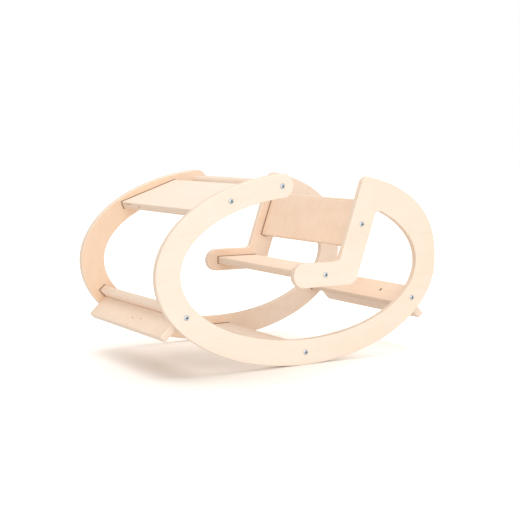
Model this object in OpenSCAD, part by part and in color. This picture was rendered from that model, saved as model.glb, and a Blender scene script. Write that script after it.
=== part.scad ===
// Wooden rocker arch for a small child, in birch plywood.
// Two identical oval side panels are joined by a table, a round grip bar, a seat, a backrest,
// a foot board and two stops that keep the rocker from tipping over.
// +X is the rear of the rocker, where the backrest is, and the child looks towards -X.
// +Z is up, the panels rock on z = 0, and the origin is under the middle of the rocker.

/* [Side panels] */
// Length of the rocker over its side panels
rocker_length = 780; // [740:10:840]
// Width over the outer faces of both side panels
rocker_width = 440; // [360:10:520]
// Height of the full oval that the outer edge of a panel follows
oval_height = 455; // [430:1:480]
// Thickness of a side panel
panel_t = 18; // [15:1:21]
// Width of the panel's band at its sides and bottom
band_w = 61; // [54:1:68]
// Width of the front arm where it ends at the grip bar
arm_w = 56.5; // [50:0.5:62]
// How square the rear top quarter of the oval is, where 2 is a plain ellipse
rear_fullness = 2.5; // [2:0.1:3]
// Radius of the corner at the top of the seat back
back_top_r = 18; // [10:1:26]
// Radius in the hole where the seat back meets the band
hole_corner_r = 14; // [8:1:30]

/* [Seat arm of a panel] */
// Height of the seat arm, which runs level along the seat
seat_arm_h = 58; // [50:1:66]
// How far the round tip of the seat arm stands out in front of the seat
seat_arm_reach = 31; // [20:1:50]
// Width of the slanted band of a panel that carries the backrest
seat_back_w = 63; // [56:1:70]
// Radius under the rear end of the seat arm
seat_heel_r = 28; // [10:1:28]
// Radius between the seat arm and the slanted band
seat_corner_r = 12; // [5:1:25]

/* [Seat and backrest] */
// Height of the top of the seat above the floor
seat_top = 220; // [204:1:236]
// Front edge of the seat, measured rearwards from the middle of the rocker
seat_front = -3; // [-14:1:10]
// Depth of the seat, front to rear
seat_depth = 116; // [95:1:126]
// Thickness of the seat
seat_t = 18; // [15:1:21]
// Gap along the seat between its rear edge and the middle of the slanted band
seat_back_gap = 6.5; // [2:0.5:20]
// Lean of the backrest from upright, in degrees
back_tilt = 19; // [12:1:23]
// Height of the backrest's own board, along its slope
backrest_h = 118; // [90:1:130]
// Thickness of the backrest
backrest_t = 18; // [15:1:21]
// Distance up the slope from the seat's mid-plane to the middle of the backrest
backrest_rise = 123; // [100:1:130]

/* [Table and grip bar] */
// Middle of the table, measured forwards from the middle of the rocker
table_ahead = 202; // [185:1:215]
// Slope of the table, rising towards the child, in degrees
table_tilt = 19.5; // [14:0.5:25]
// Depth of the table, front to rear
table_depth = 160; // [120:1:170]
// Thickness of the table
table_t = 18; // [15:1:21]
// Axis of the grip bar, measured forwards from the middle of the rocker
bar_ahead = 66.5; // [56:0.5:76]
// How far the middle of the arm's round end lies behind that axis
arm_end_reach = 3; // [0:0.5:6]
// Diameter of the grip bar
bar_d = 28; // [24:1:32]

/* [Foot board] */
// Middle of the foot board, measured rearwards from the middle of the rocker
foot_behind = -1; // [-20:1:20]
// Depth of the foot board, front to rear
foot_depth = 60; // [50:1:100]
// Thickness of the foot board
foot_t = 18; // [15:1:21]

/* [Tip stops] */
// Place of each stop along the band, in degrees below the band's foremost or rearmost point
stop_turn = 27.8; // [20:0.2:36]
// How far the rail's mid-plane lies inside the middle of the band
stop_inset = 2.5; // [0:0.5:6]
// How much more upright the rear stop's plate stands than the front one's, in degrees
rear_stop_lift = 5; // [0:1:8]
// Width of the rail that joins the panels at each stop
stop_rail_w = 60; // [52:1:80]
// Thickness of the rail
stop_rail_t = 18; // [15:1:21]
// Length of the stop plate, from the rail to its free edge
stop_plate_w = 60; // [45:1:75]
// Thickness of the stop plate
stop_plate_t = 18; // [15:1:21]

/* [Bolts and barrel nuts] */
// Thread diameter of the bolts
bolt_d = 6; // [5:1:8]
// Length of a bolt under its head
bolt_l = 50; // [40:5:60]
// Diameter of a bolt's flat head
bolt_head_d = 13; // [11:1:17]
// Height of a bolt's domed head
bolt_head_h = 3; // [2.5:0.1:4]
// Height of the straight rim under the dome of the head
bolt_rim_h = 1; // [0.4:0.1:1.5]
// Width across the flats of the hexagon socket in the head
bolt_socket_w = 4; // [3:1:5]
// Diameter of a barrel nut
nut_d = 10; // [9:1:12]
// Length of a barrel nut
nut_l = 13; // [11:0.5:14]
// Outer diameter of the threaded sleeve in each end of the grip bar
sleeve_d = 10; // [9:1:12]
// Length of that sleeve
sleeve_l = 15; // [10:1:20]

/* [Dowels and screws] */
// Diameter of the wooden dowels
dowel_d = 8; // [6:1:10]
// Length of a dowel
dowel_l = 30; // [25:1:35]
// How far a dowel goes into the side panel
dowel_in_panel = 10; // [6:1:12]
// Diameter of the screws that hold a stop plate to its rail
screw_d = 4.5; // [3.5:0.5:5]
// Length of such a screw
screw_l = 45; // [35:5:60]
// Diameter of its countersunk head
screw_head_d = 9; // [7:0.5:10]
// Width over the arms of the cross recess in that head
screw_cross_w = 4.6; // [3.5:0.1:5.5]
// Distance between the two outermost screws of a stop
screw_spread = 200; // [120:5:320]
// Number of screws in each stop
screw_count = 2; // [2:1:4]

/* [Hidden] */
$fn = 48;

// Degrees between neighbouring points along the ovals, and steps in a corner's arc
oval_step = 3;
arc_steps = 12;
// Halvings in the search for a corner's centre
search_steps = 30;
// Radial play of a bolt, a nut, a dowel and a screw in their holes
bolt_play = 0.3;
nut_play = 0.1;
dowel_play = 0.05;
screw_play = 0.1;
// Play between a bolt's thread and its nut
thread_play = 0.05;
// Space left past the end of a bolt, nut, dowel or screw in a blind hole
end_play = 1;
// Overrun of a cut past the face that it opens
over = 1;
// Depth of the hexagon socket as a share of the head's height
socket_depth_share = 0.75;
// Chamfer at the ends of a dowel
dowel_chamfer = 1;
// Screwdriver slot in the end of a barrel nut
nut_slot_w = 1.2;
nut_slot_h = 1.5;
// Height of the cone under a screw's head and of its point
screw_cone_h = 3;
screw_point_h = 6;
// Width of one arm of a screw's cross recess, and the depth of the recess
screw_cross_t = 1.2;
screw_cross_h = 2;
// Offset of the dowels from a board's bolt, as a share of the board's depth
dowel_offset_share = 0.32;

birch = "#f3dcc0";
birch_inner = "#ecd0ae";
beech = "#e6c39c";
zinc = "#b9bec2";
brass = "#c9a860";

// The outer oval, and the inner oval that leaves the band and the arm
outer_a = rocker_length / 2;
outer_b = oval_height / 2;
// The points of the ovals lie half a step off the axes, so the flat between the lowest two is on z = 0
outer_z = outer_b * cos(oval_step / 2);
inner_a = outer_a - band_w;
inner_b = (oval_height - band_w - arm_w) / 2;
inner_z = band_w + inner_b;
mid_a = (outer_a + inner_a) / 2;
mid_b = (outer_b + inner_b) / 2;
mid_z = (outer_z + inner_z) / 2;

// An oval is [half length, half height, height of its middle, squareness]
rear_top_oval = [outer_a, outer_b, outer_z, rear_fullness];
inner_oval = [inner_a, inner_b, inner_z, 2];

inner_y = rocker_width / 2 - panel_t;
span = 2 * inner_y;

// Point of the outer edge at angle a, where 0 is the rear, 90 the top and 180 the front
function squareness(a) = (a > 360) ? rear_fullness : 2;
function signed_power(v, p) = sign(v) * pow(abs(v), p);
function outer_point(a) = [
    outer_a * signed_power(cos(a), 2 / squareness(a)),
    outer_z + outer_b * signed_power(sin(a), 2 / squareness(a))
];
function inner_point(a) = [inner_a * cos(a), inner_z + inner_b * sin(a)];

// Point in the middle of the band, and the slope of the band there
function mid_point(a) = [mid_a * cos(a), mid_z + mid_b * sin(a)];
function mid_slope(a) = atan2(mid_b * cos(a), -mid_a * sin(a));

// How far point p lies outside an oval, and the direction that leads straight out there
function level(p, o) = pow(pow(abs(p[0]) / o[0], o[3]) + pow(abs(p[1] - o[2]) / o[1], o[3]), 1 / o[3]);
function gradient(p, o) = pow(level(p, o), 1 - o[3]) * [
    pow(abs(p[0]) / o[0], o[3] - 1) / o[0],
    pow(abs(p[1] - o[2]) / o[1], o[3] - 1) / o[1]
];
function outside(p, o) = (level(p, o) - 1) / norm(gradient(p, o));
function outward_angle(p, o) = atan2(gradient(p, o)[1], gradient(p, o)[0]);

// Point on the line from p along d that lies r inside oval o, found by halving
function inside_by(r, p, d, o, low, high, n) =
    let (m = (low + high) / 2)
    n == 0 ? p + m * d
    : outside(p + m * d, o) < -r ? inside_by(r, p, d, o, m, high, n - 1)
    : inside_by(r, p, d, o, low, m, n - 1);

function arc(c, r, a0, a1) = [
    for (i = [0:arc_steps])
        let (a = a0 + (a1 - a0) * i / arc_steps) c + r * [cos(a), sin(a)]
];
// Angles between a0 and a1 that lie on half steps, no nearer to either end than half a step
function half_steps(a0, a1) = [
    for (k = [ceil(a0 / oval_step) : floor(a1 / oval_step) - 1]) (k + 0.5) * oval_step
];

// Places of the boards' middles, as [x, z]
seat_z = seat_top - seat_t / 2;
seat_mid = [seat_front + seat_depth / 2, seat_z];
back_foot = [seat_front + seat_depth + seat_back_gap, seat_z];
back_up = [sin(back_tilt), cos(back_tilt)];
back_right = [cos(back_tilt), -sin(back_tilt)];
backrest_mid = back_foot + backrest_rise * back_up;
bar_mid = mid_point(acos(-bar_ahead / mid_a));
table_mid = mid_point(acos(-table_ahead / mid_a));
foot_mid = mid_point(360 - acos(foot_behind / mid_a));
stop_angle = 180 + stop_turn;
stop_slope = mid_slope(stop_angle);
stop_mid = mid_point(stop_angle) + stop_inset * [-sin(stop_slope), cos(stop_slope)];

// A place is [x, z, turn from level in degrees], and its board's depth runs along that turn
table_place = [table_mid[0], table_mid[1], table_tilt];
bar_place = [bar_mid[0], bar_mid[1], 0];
seat_place = [seat_mid[0], seat_mid[1], 0];
backrest_place = [backrest_mid[0], backrest_mid[1], 90 - back_tilt];
foot_place = [foot_mid[0], foot_mid[1], 0];
stop_place = [stop_mid[0], stop_mid[1], stop_slope];
// The rear stop is given as its mirror image at the front
rear_stop_place = [stop_mid[0], stop_mid[1], stop_slope + rear_stop_lift];

// Corners of a board's section, seen from the side
function section(place, depth, thickness) = [
    for (corner = [[-1, -1], [1, -1], [1, 1], [-1, 1]])
        let (u = corner[0] * depth / 2, v = corner[1] * thickness / 2, a = place[2])
        [place[0] + u * cos(a) - v * sin(a), place[1] + u * sin(a) + v * cos(a)]
];

// Front arm: the outer and inner edges end where a round end of its own width meets them
arm_end_x = arm_end_reach - bar_ahead;
arm_lean = mid_slope(acos(arm_end_x / mid_a)) - 180;
arm_side = arm_w / 2 * sin(arm_lean);
arm_outer_angle = acos((arm_end_x - arm_side) / outer_a);
arm_inner_angle = acos((arm_end_x + arm_side) / inner_a);
arm_top = outer_point(arm_outer_angle);
arm_low = inner_point(arm_inner_angle);
arm_middle = (arm_top + arm_low) / 2;
arm_r = norm(arm_top - arm_low) / 2;
arm_turn = atan2(arm_top[1] - arm_middle[1], arm_top[0] - arm_middle[0]);

// Centres of the corners of the seat arm and the slanted band
back_half = seat_back_w / 2;
arm_half = seat_arm_h / 2;
tip_centre = [seat_front - seat_arm_reach + arm_half, seat_z];
function on_band(side, z) =
    let (p = back_foot + side * back_right) p + (z - p[1]) / cos(back_tilt) * back_up;
corner_centre = on_band(-back_half - seat_corner_r, seat_z + arm_half + seat_corner_r);
heel_centre = on_band(back_half - seat_heel_r, seat_z - arm_half + seat_heel_r);
top_line = back_foot + (back_top_r - back_half) * back_right;
top_centre = inside_by(back_top_r, top_line, back_up, rear_top_oval, 0, oval_height, search_steps);
hole_line = back_foot + (back_half + hole_corner_r) * back_right;
hole_centre = inside_by(hole_corner_r, hole_line, back_up, inner_oval, 0, oval_height, search_steps);
top_exit = outward_angle(top_centre, rear_top_oval);
hole_exit = outward_angle(hole_centre, inner_oval);
top_touch = top_centre + back_top_r * [cos(top_exit), sin(top_exit)];
hole_touch = hole_centre + hole_corner_r * [cos(hole_exit), sin(hole_exit)];
outer_end = 360 + acos(pow(top_touch[0] / outer_a, rear_fullness / 2));
inner_start = acos(hole_touch[0] / inner_a);
inner_angles = half_steps(arm_inner_angle - 360, inner_start);

panel_outline = concat(
    [arm_top],
    [for (a = half_steps(arm_outer_angle, outer_end)) outer_point(a)],
    arc(top_centre, back_top_r, top_exit, 180 - back_tilt),
    arc(corner_centre, seat_corner_r, -back_tilt, -90),
    arc(tip_centre, arm_half, 90, 270),
    arc(heel_centre, seat_heel_r, -90, -back_tilt),
    arc(hole_centre, hole_corner_r, 180 - back_tilt, hole_exit),
    [for (i = [len(inner_angles) - 1:-1:0]) inner_point(inner_angles[i])],
    [arm_low],
    [for (i = [1:arc_steps - 1]) arc(arm_middle, arm_r, arm_turn - 180, arm_turn)[i]]
);

// Offsets of the dowels from the bolt along each board
table_dowel_x = table_depth * dowel_offset_share;
seat_dowel_x = seat_depth * dowel_offset_share;
backrest_dowel_x = backrest_h * dowel_offset_share;
foot_dowel_x = foot_depth * dowel_offset_share;
stop_dowel_x = stop_rail_w * dowel_offset_share;

// A joint is [place, offset of its dowels], and 0 stands for a joint without dowels
front_joints = [
    [table_place, table_dowel_x], [bar_place, 0], [seat_place, seat_dowel_x],
    [backrest_place, backrest_dowel_x], [foot_place, foot_dowel_x]
];

// Lengths that the fittings share
bolt_dome_h = bolt_head_h - bolt_rim_h;
bolt_dome_r = (pow(bolt_head_d / 2, 2) + pow(bolt_dome_h, 2)) / (2 * bolt_dome_h);
bolt_in_board = bolt_l - panel_t;
nut_depth = bolt_in_board - nut_d / 2 - end_play;
dowel_in_board = dowel_l - dowel_in_panel;

module at_place(place) {
    translate([place[0], 0, place[1]]) rotate([0, -place[2], 0]) children();
}

// Puts its children at both panels, turned so that +Z points out of each panel
module at_both_panels(y) {
    translate([0, y, 0]) rotate([-90, 0, 0]) children();
    translate([0, -y, 0]) rotate([90, 0, 0]) children();
}

module bolt_head() {
    intersection() {
        cylinder(d = bolt_head_d, h = bolt_head_h);
        translate([0, 0, bolt_head_h - bolt_dome_r]) sphere(r = bolt_dome_r, $fn = 96);
    }
}

module bolt() {
    difference() {
        union() {
            bolt_head();
            translate([0, 0, -bolt_l]) cylinder(d = bolt_d, h = bolt_l);
        }
        translate([0, 0, bolt_head_h * (1 - socket_depth_share)])
            cylinder(d = bolt_socket_w / cos(30), h = bolt_head_h, $fn = 6);
    }
}

module bolts(place) {
    color(zinc) at_place(place) at_both_panels(rocker_width / 2) bolt();
}

// Barrel nut across a board, with its slotted end at the mouth of its hole
module barrel_nut() {
    difference() {
        cylinder(d = nut_d, h = nut_l, center = true);
        rotate([90, 0, 0]) cylinder(d = bolt_d + 2 * thread_play, h = nut_d + 2 * over, center = true);
        translate([0, 0, -nut_l / 2]) cube([nut_d + 2 * over, nut_slot_w, 2 * nut_slot_h], center = true);
    }
}

module barrel_nuts(place) {
    color(zinc) at_place(place)
        for (side = [-1, 1])
            translate([0, side * (inner_y - nut_depth), 0]) barrel_nut();
}

module dowel() {
    translate([0, 0, dowel_in_panel - dowel_l]) {
        cylinder(d1 = dowel_d - 2 * dowel_chamfer, d2 = dowel_d, h = dowel_chamfer);
        translate([0, 0, dowel_chamfer]) cylinder(d = dowel_d, h = dowel_l - 2 * dowel_chamfer);
        translate([0, 0, dowel_l - dowel_chamfer])
            cylinder(d1 = dowel_d, d2 = dowel_d - 2 * dowel_chamfer, h = dowel_chamfer);
    }
}

module dowels(place, offset_x) {
    color(beech) at_place(place)
        for (x = [-offset_x, offset_x])
            translate([x, 0, 0]) at_both_panels(inner_y) dowel();
}

// Holes in a panel for one board: the bolt's right through, the dowels' blind
module panel_holes(place, offset_x) {
    at_place(place) at_both_panels(inner_y) {
        translate([0, 0, -over]) cylinder(d = bolt_d + 2 * bolt_play, h = panel_t + 2 * over);
        if (offset_x > 0)
            for (x = [-offset_x, offset_x])
                translate([x, 0, -over])
                    cylinder(d = dowel_d + 2 * dowel_play, h = over + dowel_in_panel + end_play);
    }
}

// Holes in a board's ends, and the holes across it for the barrel nuts
module board_holes(thickness, offset_x) {
    at_both_panels(inner_y) {
        translate([0, 0, -bolt_in_board - end_play])
            cylinder(d = bolt_d + 2 * bolt_play, h = bolt_in_board + end_play + over);
        for (x = [-offset_x, offset_x])
            translate([x, 0, -dowel_in_board - end_play])
                cylinder(d = dowel_d + 2 * dowel_play, h = dowel_in_board + end_play + over);
    }
    for (side = [-1, 1])
        translate([0, side * (inner_y - nut_depth), -thickness / 2 - over])
            cylinder(d = nut_d + 2 * nut_play, h = thickness / 2 + over + nut_l / 2 + nut_play);
}

// A flat board between the panels, whose nuts go in from its lower or hidden face
module board(place, depth, thickness, offset_x) {
    difference() {
        rotate([90, 0, 0])
            linear_extrude(height = span, center = true) polygon(section(place, depth, thickness));
        at_place(place) board_holes(thickness, offset_x);
    }
}

module side_panel(y) {
    color(birch)
        difference() {
            translate([0, y, 0]) rotate([90, 0, 0]) linear_extrude(height = panel_t) polygon(panel_outline);
            for (joint = front_joints) panel_holes(joint[0], joint[1]);
            panel_holes(stop_place, stop_dowel_x);
            at_rear() panel_holes(rear_stop_place, stop_dowel_x);
        }
}

module side_panel_left() {
    side_panel(-inner_y);
}

module side_panel_right() {
    side_panel(inner_y + panel_t);
}

module table_board() {
    color(birch) board(table_place, table_depth, table_t, table_dowel_x);
}

module seat_board() {
    color(birch_inner) board(seat_place, seat_depth, seat_t, seat_dowel_x);
}

module backrest_board() {
    color(birch_inner) board(backrest_place, backrest_h, backrest_t, backrest_dowel_x);
}

module foot_board() {
    color(birch_inner) board(foot_place, foot_depth, foot_t, foot_dowel_x);
}

module grip_bar() {
    color(beech) at_place(bar_place)
        difference() {
            rotate([90, 0, 0]) cylinder(d = bar_d, h = span, center = true);
            at_both_panels(inner_y) {
                translate([0, 0, -bolt_in_board - end_play])
                    cylinder(d = bolt_d + 2 * bolt_play, h = bolt_in_board + end_play + over);
                translate([0, 0, -sleeve_l])
                    cylinder(d = sleeve_d + 2 * nut_play, h = sleeve_l + over);
            }
        }
}

module grip_bar_sleeves() {
    color(brass) at_place(bar_place) at_both_panels(inner_y)
        difference() {
            translate([0, 0, -sleeve_l]) cylinder(d = sleeve_d, h = sleeve_l);
            translate([0, 0, -sleeve_l - over])
                cylinder(d = bolt_d + 2 * thread_play, h = sleeve_l + 2 * over);
        }
}

// Places its children at each screw, on the rail's inner face and with +Z out of it
module at_screws() {
    for (i = [0:screw_count - 1])
        translate([0, (i / (screw_count - 1) - 1 / 2) * screw_spread, stop_rail_t / 2]) children();
}

// Shape of a screw with the given play round it, flat on top
module screw_shape(play) {
    shank_d = screw_d + 2 * play;
    shank_l = screw_l - screw_point_h - screw_cone_h;
    translate([0, 0, -screw_cone_h]) cylinder(d1 = shank_d, d2 = screw_head_d + 2 * play, h = screw_cone_h);
    translate([0, 0, screw_point_h - screw_l]) cylinder(d = shank_d, h = shank_l);
    translate([0, 0, -screw_l - play]) cylinder(d1 = 2 * play, d2 = shank_d, h = screw_point_h + play);
}

module screw_hole() {
    screw_shape(screw_play);
    cylinder(d = screw_head_d + 2 * screw_play, h = over);
}

module stop_rail(place) {
    color(birch_inner) at_place(place)
        difference() {
            cube([stop_rail_w, span, stop_rail_t], center = true);
            board_holes(stop_rail_t, stop_dowel_x);
            at_screws() screw_hole();
        }
}

module stop_plate(place) {
    color(birch_inner) at_place(place)
        difference() {
            translate([0, 0, -(stop_rail_t + stop_plate_w) / 2])
                cube([stop_plate_t, span, stop_plate_w], center = true);
            at_screws() screw_hole();
        }
}

module stop_screws(place) {
    color(zinc) at_place(place) at_screws()
        difference() {
            screw_shape(0);
            for (turn = [0, 90])
                rotate([0, 0, turn]) cube([screw_cross_w, screw_cross_t, 2 * screw_cross_h], center = true);
        }
}

module at_rear() {
    mirror([1, 0, 0]) children();
}

side_panel_left();
side_panel_right();
table_board();
grip_bar();
seat_board();
backrest_board();
foot_board();
stop_rail(stop_place);  // front_stop_rail
stop_plate(stop_place);  // front_stop_plate
at_rear() stop_rail(rear_stop_place);  // rear_stop_rail
at_rear() stop_plate(rear_stop_place);  // rear_stop_plate
bolts(table_place);  // table_bolts
bolts(bar_place);  // grip_bar_bolts
bolts(seat_place);  // seat_bolts
bolts(backrest_place);  // backrest_bolts
bolts(foot_place);  // foot_bolts
bolts(stop_place);  // front_stop_bolts
at_rear() bolts(rear_stop_place);  // rear_stop_bolts
barrel_nuts(table_place);  // table_barrel_nuts
barrel_nuts(seat_place);  // seat_barrel_nuts
barrel_nuts(backrest_place);  // backrest_barrel_nuts
barrel_nuts(foot_place);  // foot_barrel_nuts
barrel_nuts(stop_place);  // front_stop_barrel_nuts
at_rear() barrel_nuts(rear_stop_place);  // rear_stop_barrel_nuts
grip_bar_sleeves();
dowels(table_place, table_dowel_x);  // table_dowels
dowels(seat_place, seat_dowel_x);  // seat_dowels
dowels(backrest_place, backrest_dowel_x);  // backrest_dowels
dowels(foot_place, foot_dowel_x);  // foot_dowels
dowels(stop_place, stop_dowel_x);  // front_stop_dowels
at_rear() dowels(rear_stop_place, stop_dowel_x);  // rear_stop_dowels
stop_screws(stop_place);  // front_stop_screws
at_rear() stop_screws(rear_stop_place);  // rear_stop_screws
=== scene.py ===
# %% [markdown]
# # A wooden rocker arch, dressed for a studio picture
#
# The rocker is flat-pack furniture for a small child: two oval side panels in birch plywood,
# joined by a table, a round grip bar, a seat, a backrest, a foot board and two tip stops.
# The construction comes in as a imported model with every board, bolt and dowel in its real place.
# This lesson gives that model its looks: softened edges, veneer and ply layers, bolts with
# sockets, and the light of a white studio.

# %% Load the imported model
import math

import bmesh
import bpy
from mathutils import Matrix, Vector


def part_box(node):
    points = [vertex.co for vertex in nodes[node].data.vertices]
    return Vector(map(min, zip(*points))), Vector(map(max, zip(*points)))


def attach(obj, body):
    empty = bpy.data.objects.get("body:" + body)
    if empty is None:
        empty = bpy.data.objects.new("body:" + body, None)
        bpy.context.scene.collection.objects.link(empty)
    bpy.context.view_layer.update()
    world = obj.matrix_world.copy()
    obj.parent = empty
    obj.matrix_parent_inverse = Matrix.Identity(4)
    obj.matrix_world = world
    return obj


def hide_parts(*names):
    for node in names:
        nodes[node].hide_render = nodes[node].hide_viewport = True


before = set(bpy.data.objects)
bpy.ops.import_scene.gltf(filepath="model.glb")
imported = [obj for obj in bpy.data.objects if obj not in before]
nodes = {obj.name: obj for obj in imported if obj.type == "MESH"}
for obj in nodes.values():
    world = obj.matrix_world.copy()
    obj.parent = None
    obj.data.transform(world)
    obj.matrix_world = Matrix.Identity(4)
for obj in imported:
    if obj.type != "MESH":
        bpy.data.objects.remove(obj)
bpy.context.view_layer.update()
BODY = "root"
MM = 0.001

# %% [markdown]
# ## The camera
#
# The picture was taken from the front left, a little above the table. The focal length, the
# place and the two angles were worked out from the outlines of both panels in the photograph
# and from the edges that cross between them, so the scene uses them as they are. Blender wants
# a lens in millimetres on a sensor, which is the focal length in pixels scaled by the sensor's
# width over the picture's width.

# %% Camera
PHOTO_SIDE_PX = 520
FOCAL_PX = 1107.6
SENSOR_WIDTH_MM = 36
CAMERA_PLACE = (-1.426, -2.372, 0.524)
CAMERA_TURN_DEG = 31.12
CAMERA_DIP_DEG = 6.08

camera_data = bpy.data.cameras.new("photo_camera")
camera_data.sensor_width = SENSOR_WIDTH_MM
camera_data.lens = SENSOR_WIDTH_MM * FOCAL_PX / PHOTO_SIDE_PX
camera = bpy.data.objects.new("photo_camera", camera_data)
camera.location = CAMERA_PLACE
camera.rotation_euler = (math.radians(90 - CAMERA_DIP_DEG), 0, math.radians(-CAMERA_TURN_DEG))
bpy.context.scene.collection.objects.link(camera)
bpy.context.scene.camera = camera
print("Lens", round(camera_data.lens, 1), "mm")

# %% [markdown]
# ## Small helpers for node trees
#
# Shader and geometry trees are built the same way: add a node, set its options, feed its
# inputs with numbers or with the outputs of other nodes. One helper does all of that, so the
# cells below read like a list of steps.


# %% Node helpers
def add_node(tree, kind, inputs=(), **options):
    """A new node, with its options set and its inputs, by place or name, set or linked."""
    node = tree.nodes.new(kind)
    for name, value in options.items():
        setattr(node, name, value)
    for key, value in dict(inputs).items():
        if isinstance(value, bpy.types.NodeSocket):
            tree.links.new(value, node.inputs[key])
        else:
            node.inputs[key].default_value = value
    return node


def calculate(tree, operation, *values):
    """The result of a Math node."""
    return add_node(tree, "ShaderNodeMath", enumerate(values), operation=operation).outputs[0]


def remap(tree, value, low, high, to_low=0.0, to_high=1.0):
    """value moved from the range low..high to another one, and held inside it."""
    inputs = {0: value, 1: low, 2: high, 3: to_low, 4: to_high}
    return add_node(tree, "ShaderNodeMapRange", inputs).outputs[0]


def mix_numbers(tree, share, a, b):
    """a where share is 0 and b where it is 1."""
    return add_node(tree, "ShaderNodeMix", {0: share, 2: a, 3: b}, data_type="FLOAT").outputs[0]


def mix_colours(tree, share, a, b):
    """Colour a where share is 0 and colour b where it is 1."""
    return add_node(tree, "ShaderNodeMix", {0: share, 6: a, 7: b}, data_type="RGBA").outputs[2]


def new_group(name, kind, inputs, outputs):
    """A node group with its sockets, given as (name, socket type, start value)."""
    tree = bpy.data.node_groups.new(name, kind)
    for socket_name, socket_type, start in inputs:
        socket = tree.interface.new_socket(socket_name, in_out="INPUT", socket_type=socket_type)
        if start is not None:
            socket.default_value = start
    for socket_name, socket_type in outputs:
        tree.interface.new_socket(socket_name, in_out="OUTPUT", socket_type=socket_type)
    return tree, tree.nodes.new("NodeGroupInput"), tree.nodes.new("NodeGroupOutput")


# %% [markdown]
# ## Where each board lies
#
# The veneer runs along a board and the plies lie across its thickness, so each material needs
# to know the board's own directions. The thickness is read from the imported mesh, where the
# largest flat side faces along it, and the grain is given for each board: along X for the
# panels and along Y for the cross boards.


# %% Read a board's directions and size
class Board:
    """The middle, the turn and the size of a flat piece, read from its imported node."""

    def __init__(self, node_name, grain):
        mesh = nodes[node_name].data
        largest = {}
        for face in mesh.polygons:
            key = tuple(round(abs(v), 3) for v in face.normal)
            area, normal = largest.get(key, (0.0, face.normal.copy()))
            largest[key] = (area + face.area, normal)
        through = max(largest.values(), key=lambda entry: entry[0])[1].normalized()
        if through.z < 0 or (abs(through.z) < 0.01 and through.y > 0):
            through = -through
        along = (grain - grain.dot(through) * through).normalized()
        across = through.cross(along)
        self.turn = Matrix((along, across, through)).transposed()
        points = [self.turn.transposed() @ v.co for v in mesh.vertices]
        low = Vector(min(p[i] for p in points) for i in range(3))
        high = Vector(max(p[i] for p in points) for i in range(3))
        self.size = high - low
        self.middle = self.turn @ ((low + high) / 2)


ALONG_X = Vector((1, 0, 0))
ALONG_Y = Vector((0, 1, 0))
PANELS = ("side_panel_left", "side_panel_right")
CROSS_BOARDS = (
    "table_board", "seat_board", "backrest_board", "foot_board",
    "front_stop_rail", "front_stop_plate", "rear_stop_rail", "rear_stop_plate",
)
boards = {name: Board(name, ALONG_X) for name in PANELS}
boards.update({name: Board(name, ALONG_Y) for name in CROSS_BOARDS})
for name, board in boards.items():
    print(f"{name}: {[round(v / MM, 1) for v in board.size]} mm")

# %% [markdown]
# ## Birch veneer
#
# Birch is peeled from the log in one long sheet, so a face shows wide, pale contour bands, fine
# fibres and now and then a short darker fleck. None of it is strong. The bands come from a slow
# noise whose height is cut into contours by a sine, which is what the peeling knife does to the
# year rings. The fibres are a second noise stretched along the grain.

# %% Node group for the veneer's figure
BANDS = 5.0
BAND_SCALE = 2.2
FIBRE_LENGTH_SHARE = 0.03
FIBRE_SCALE = 650.0
FLECK_LENGTH_SHARE = 0.08
FLECK_SCALE = 260.0
FLECK_FROM = 0.66
FLECK_FULL = 0.80
CLOUD_SCALE = 9.0
FLAME_SCALE = 60.0

veneer, given, made = new_group(
    "birch_veneer",
    "ShaderNodeTree",
    [("Vector", "NodeSocketVector", None), ("Seed", "NodeSocketVector", None)],
    [("Bands", "NodeSocketFloat"), ("Fibres", "NodeSocketFloat"), ("Flecks", "NodeSocketFloat"),
     ("Clouds", "NodeSocketFloat"), ("Flame", "NodeSocketFloat")],
)
moved = add_node(
    veneer, "ShaderNodeVectorMath", {0: given.outputs["Vector"], 1: given.outputs["Seed"]}, operation="ADD"
).outputs[0]


def stretched_noise(tree, vector, stretch, scale, detail, roughness=0.5):
    """Noise on a vector whose X, Y and Z are multiplied by stretch."""
    longer = add_node(
        tree, "ShaderNodeVectorMath", {0: vector, 1: stretch}, operation="MULTIPLY"
    ).outputs[0]
    inputs = {"Vector": longer, "Scale": scale, "Detail": detail, "Roughness": roughness}
    return add_node(tree, "ShaderNodeTexNoise", inputs).outputs[0]


slow = stretched_noise(veneer, moved, (1.0, 5.0, 5.0), BAND_SCALE, 2.0)
contour = calculate(veneer, "SINE", calculate(veneer, "MULTIPLY", slow, BANDS * 2 * math.pi))
bands = remap(veneer, contour, -1.0, 1.0)
fibres = stretched_noise(veneer, moved, (FIBRE_LENGTH_SHARE, 1.0, 1.0), FIBRE_SCALE, 3.0, 0.6)
fleck_noise = stretched_noise(veneer, moved, (FLECK_LENGTH_SHARE, 1.0, 1.0), FLECK_SCALE, 1.0)
flecks = remap(veneer, fleck_noise, FLECK_FROM, FLECK_FULL)
clouds = stretched_noise(veneer, moved, (0.6, 1.0, 1.0), CLOUD_SCALE, 3.0)
flame = stretched_noise(veneer, moved, (1.0, 0.3, 0.3), FLAME_SCALE, 2.0, 0.6)
for name, value in (
    ("Bands", bands), ("Fibres", fibres), ("Flecks", flecks), ("Clouds", clouds), ("Flame", flame),
):
    veneer.links.new(value, made.inputs[name])
print("Veneer group:", len(veneer.nodes), "nodes")

# %% [markdown]
# ## Ply layers
#
# Plywood of 18 mm has thirteen plies, laid crosswise in turn and glued. Where an edge is cut or
# rounded, the layers come to the surface: plies whose grain runs along the edge look long and
# light, the others show their end grain, and a thin dark glue line lies between them. The group
# below is a solid texture. It knows only how deep a point lies in the board and which way the
# surface faces, so the same material is right on the face, on the edge and on the rounding.

# %% Node group for the layers
FLAT_FROM = 0.97
FLAT_FULL = 0.995
GLUE_FROM = 0.38

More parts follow.
